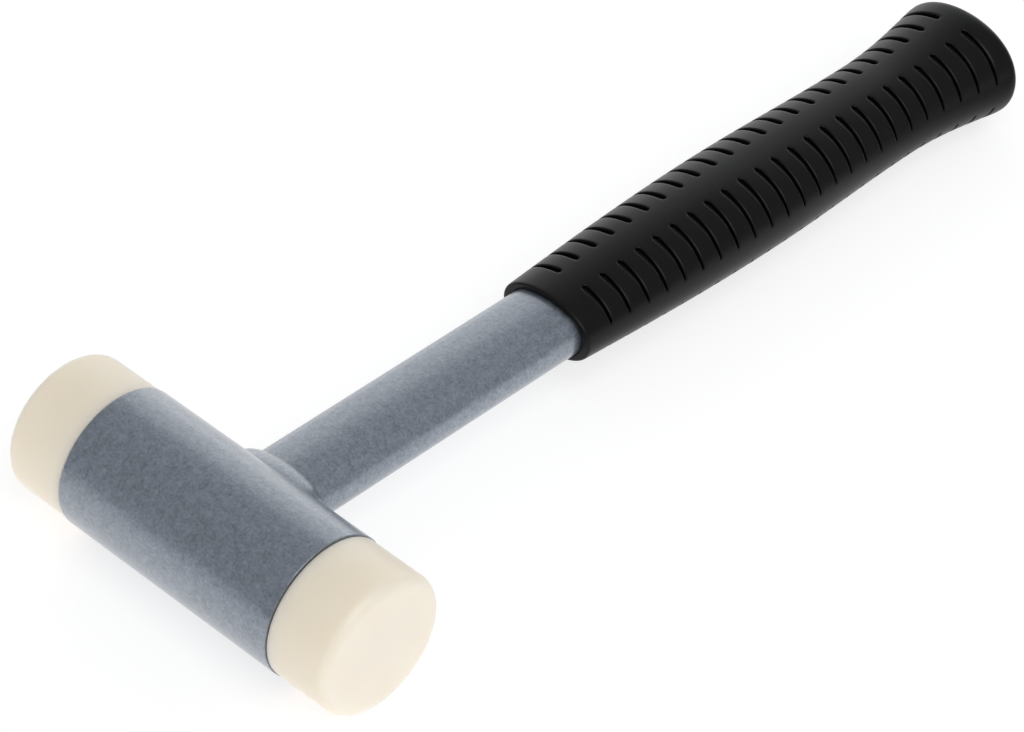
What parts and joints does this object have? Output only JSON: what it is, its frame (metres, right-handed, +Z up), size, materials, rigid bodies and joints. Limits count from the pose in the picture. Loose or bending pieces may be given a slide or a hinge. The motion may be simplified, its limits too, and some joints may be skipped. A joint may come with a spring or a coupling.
{
  "type": "soft face hammer",
  "caption": "Recoilless soft face hammer: a shot-filled steel head tube with nylon faces on an oval tube handle with a slotted rubber grip.",
  "frame": {"origin": "on the bench, under the middle of the hammer as it lies on its head and its butt", "axes": "+X along the head towards its right face, +Y from the head to the butt of the grip, +Z up"},
  "size_m": [0.114, 0.3142, 0.04],
  "materials": {
    "grey_paint": "fine grey metallic paint",
    "nylon": "natural cast nylon",
    "plated_steel": "zinc plated sheet",
    "bright_steel": "bright hardened balls",
    "black_rubber": "moulded satin rubber"
  },
  "bodies": {
    "hammer": {"head_tube": "grey_paint", "right_face": "nylon", "left_face": "nylon", "right_baffle": "plated_steel", "left_baffle": "plated_steel", "handle_weld": "grey_paint", "handle_tube": "grey_paint", "handle_grip": "black_rubber"},
    "shot": {"steel_shot": "bright_steel"}
  },
  "joints": [
    {"name": "shot_slide", "type": "slide", "parent": "hammer", "child": "shot", "axis": [1, 0, 0], "range_m": [-0.0035, 0.0035]}
  ]
}
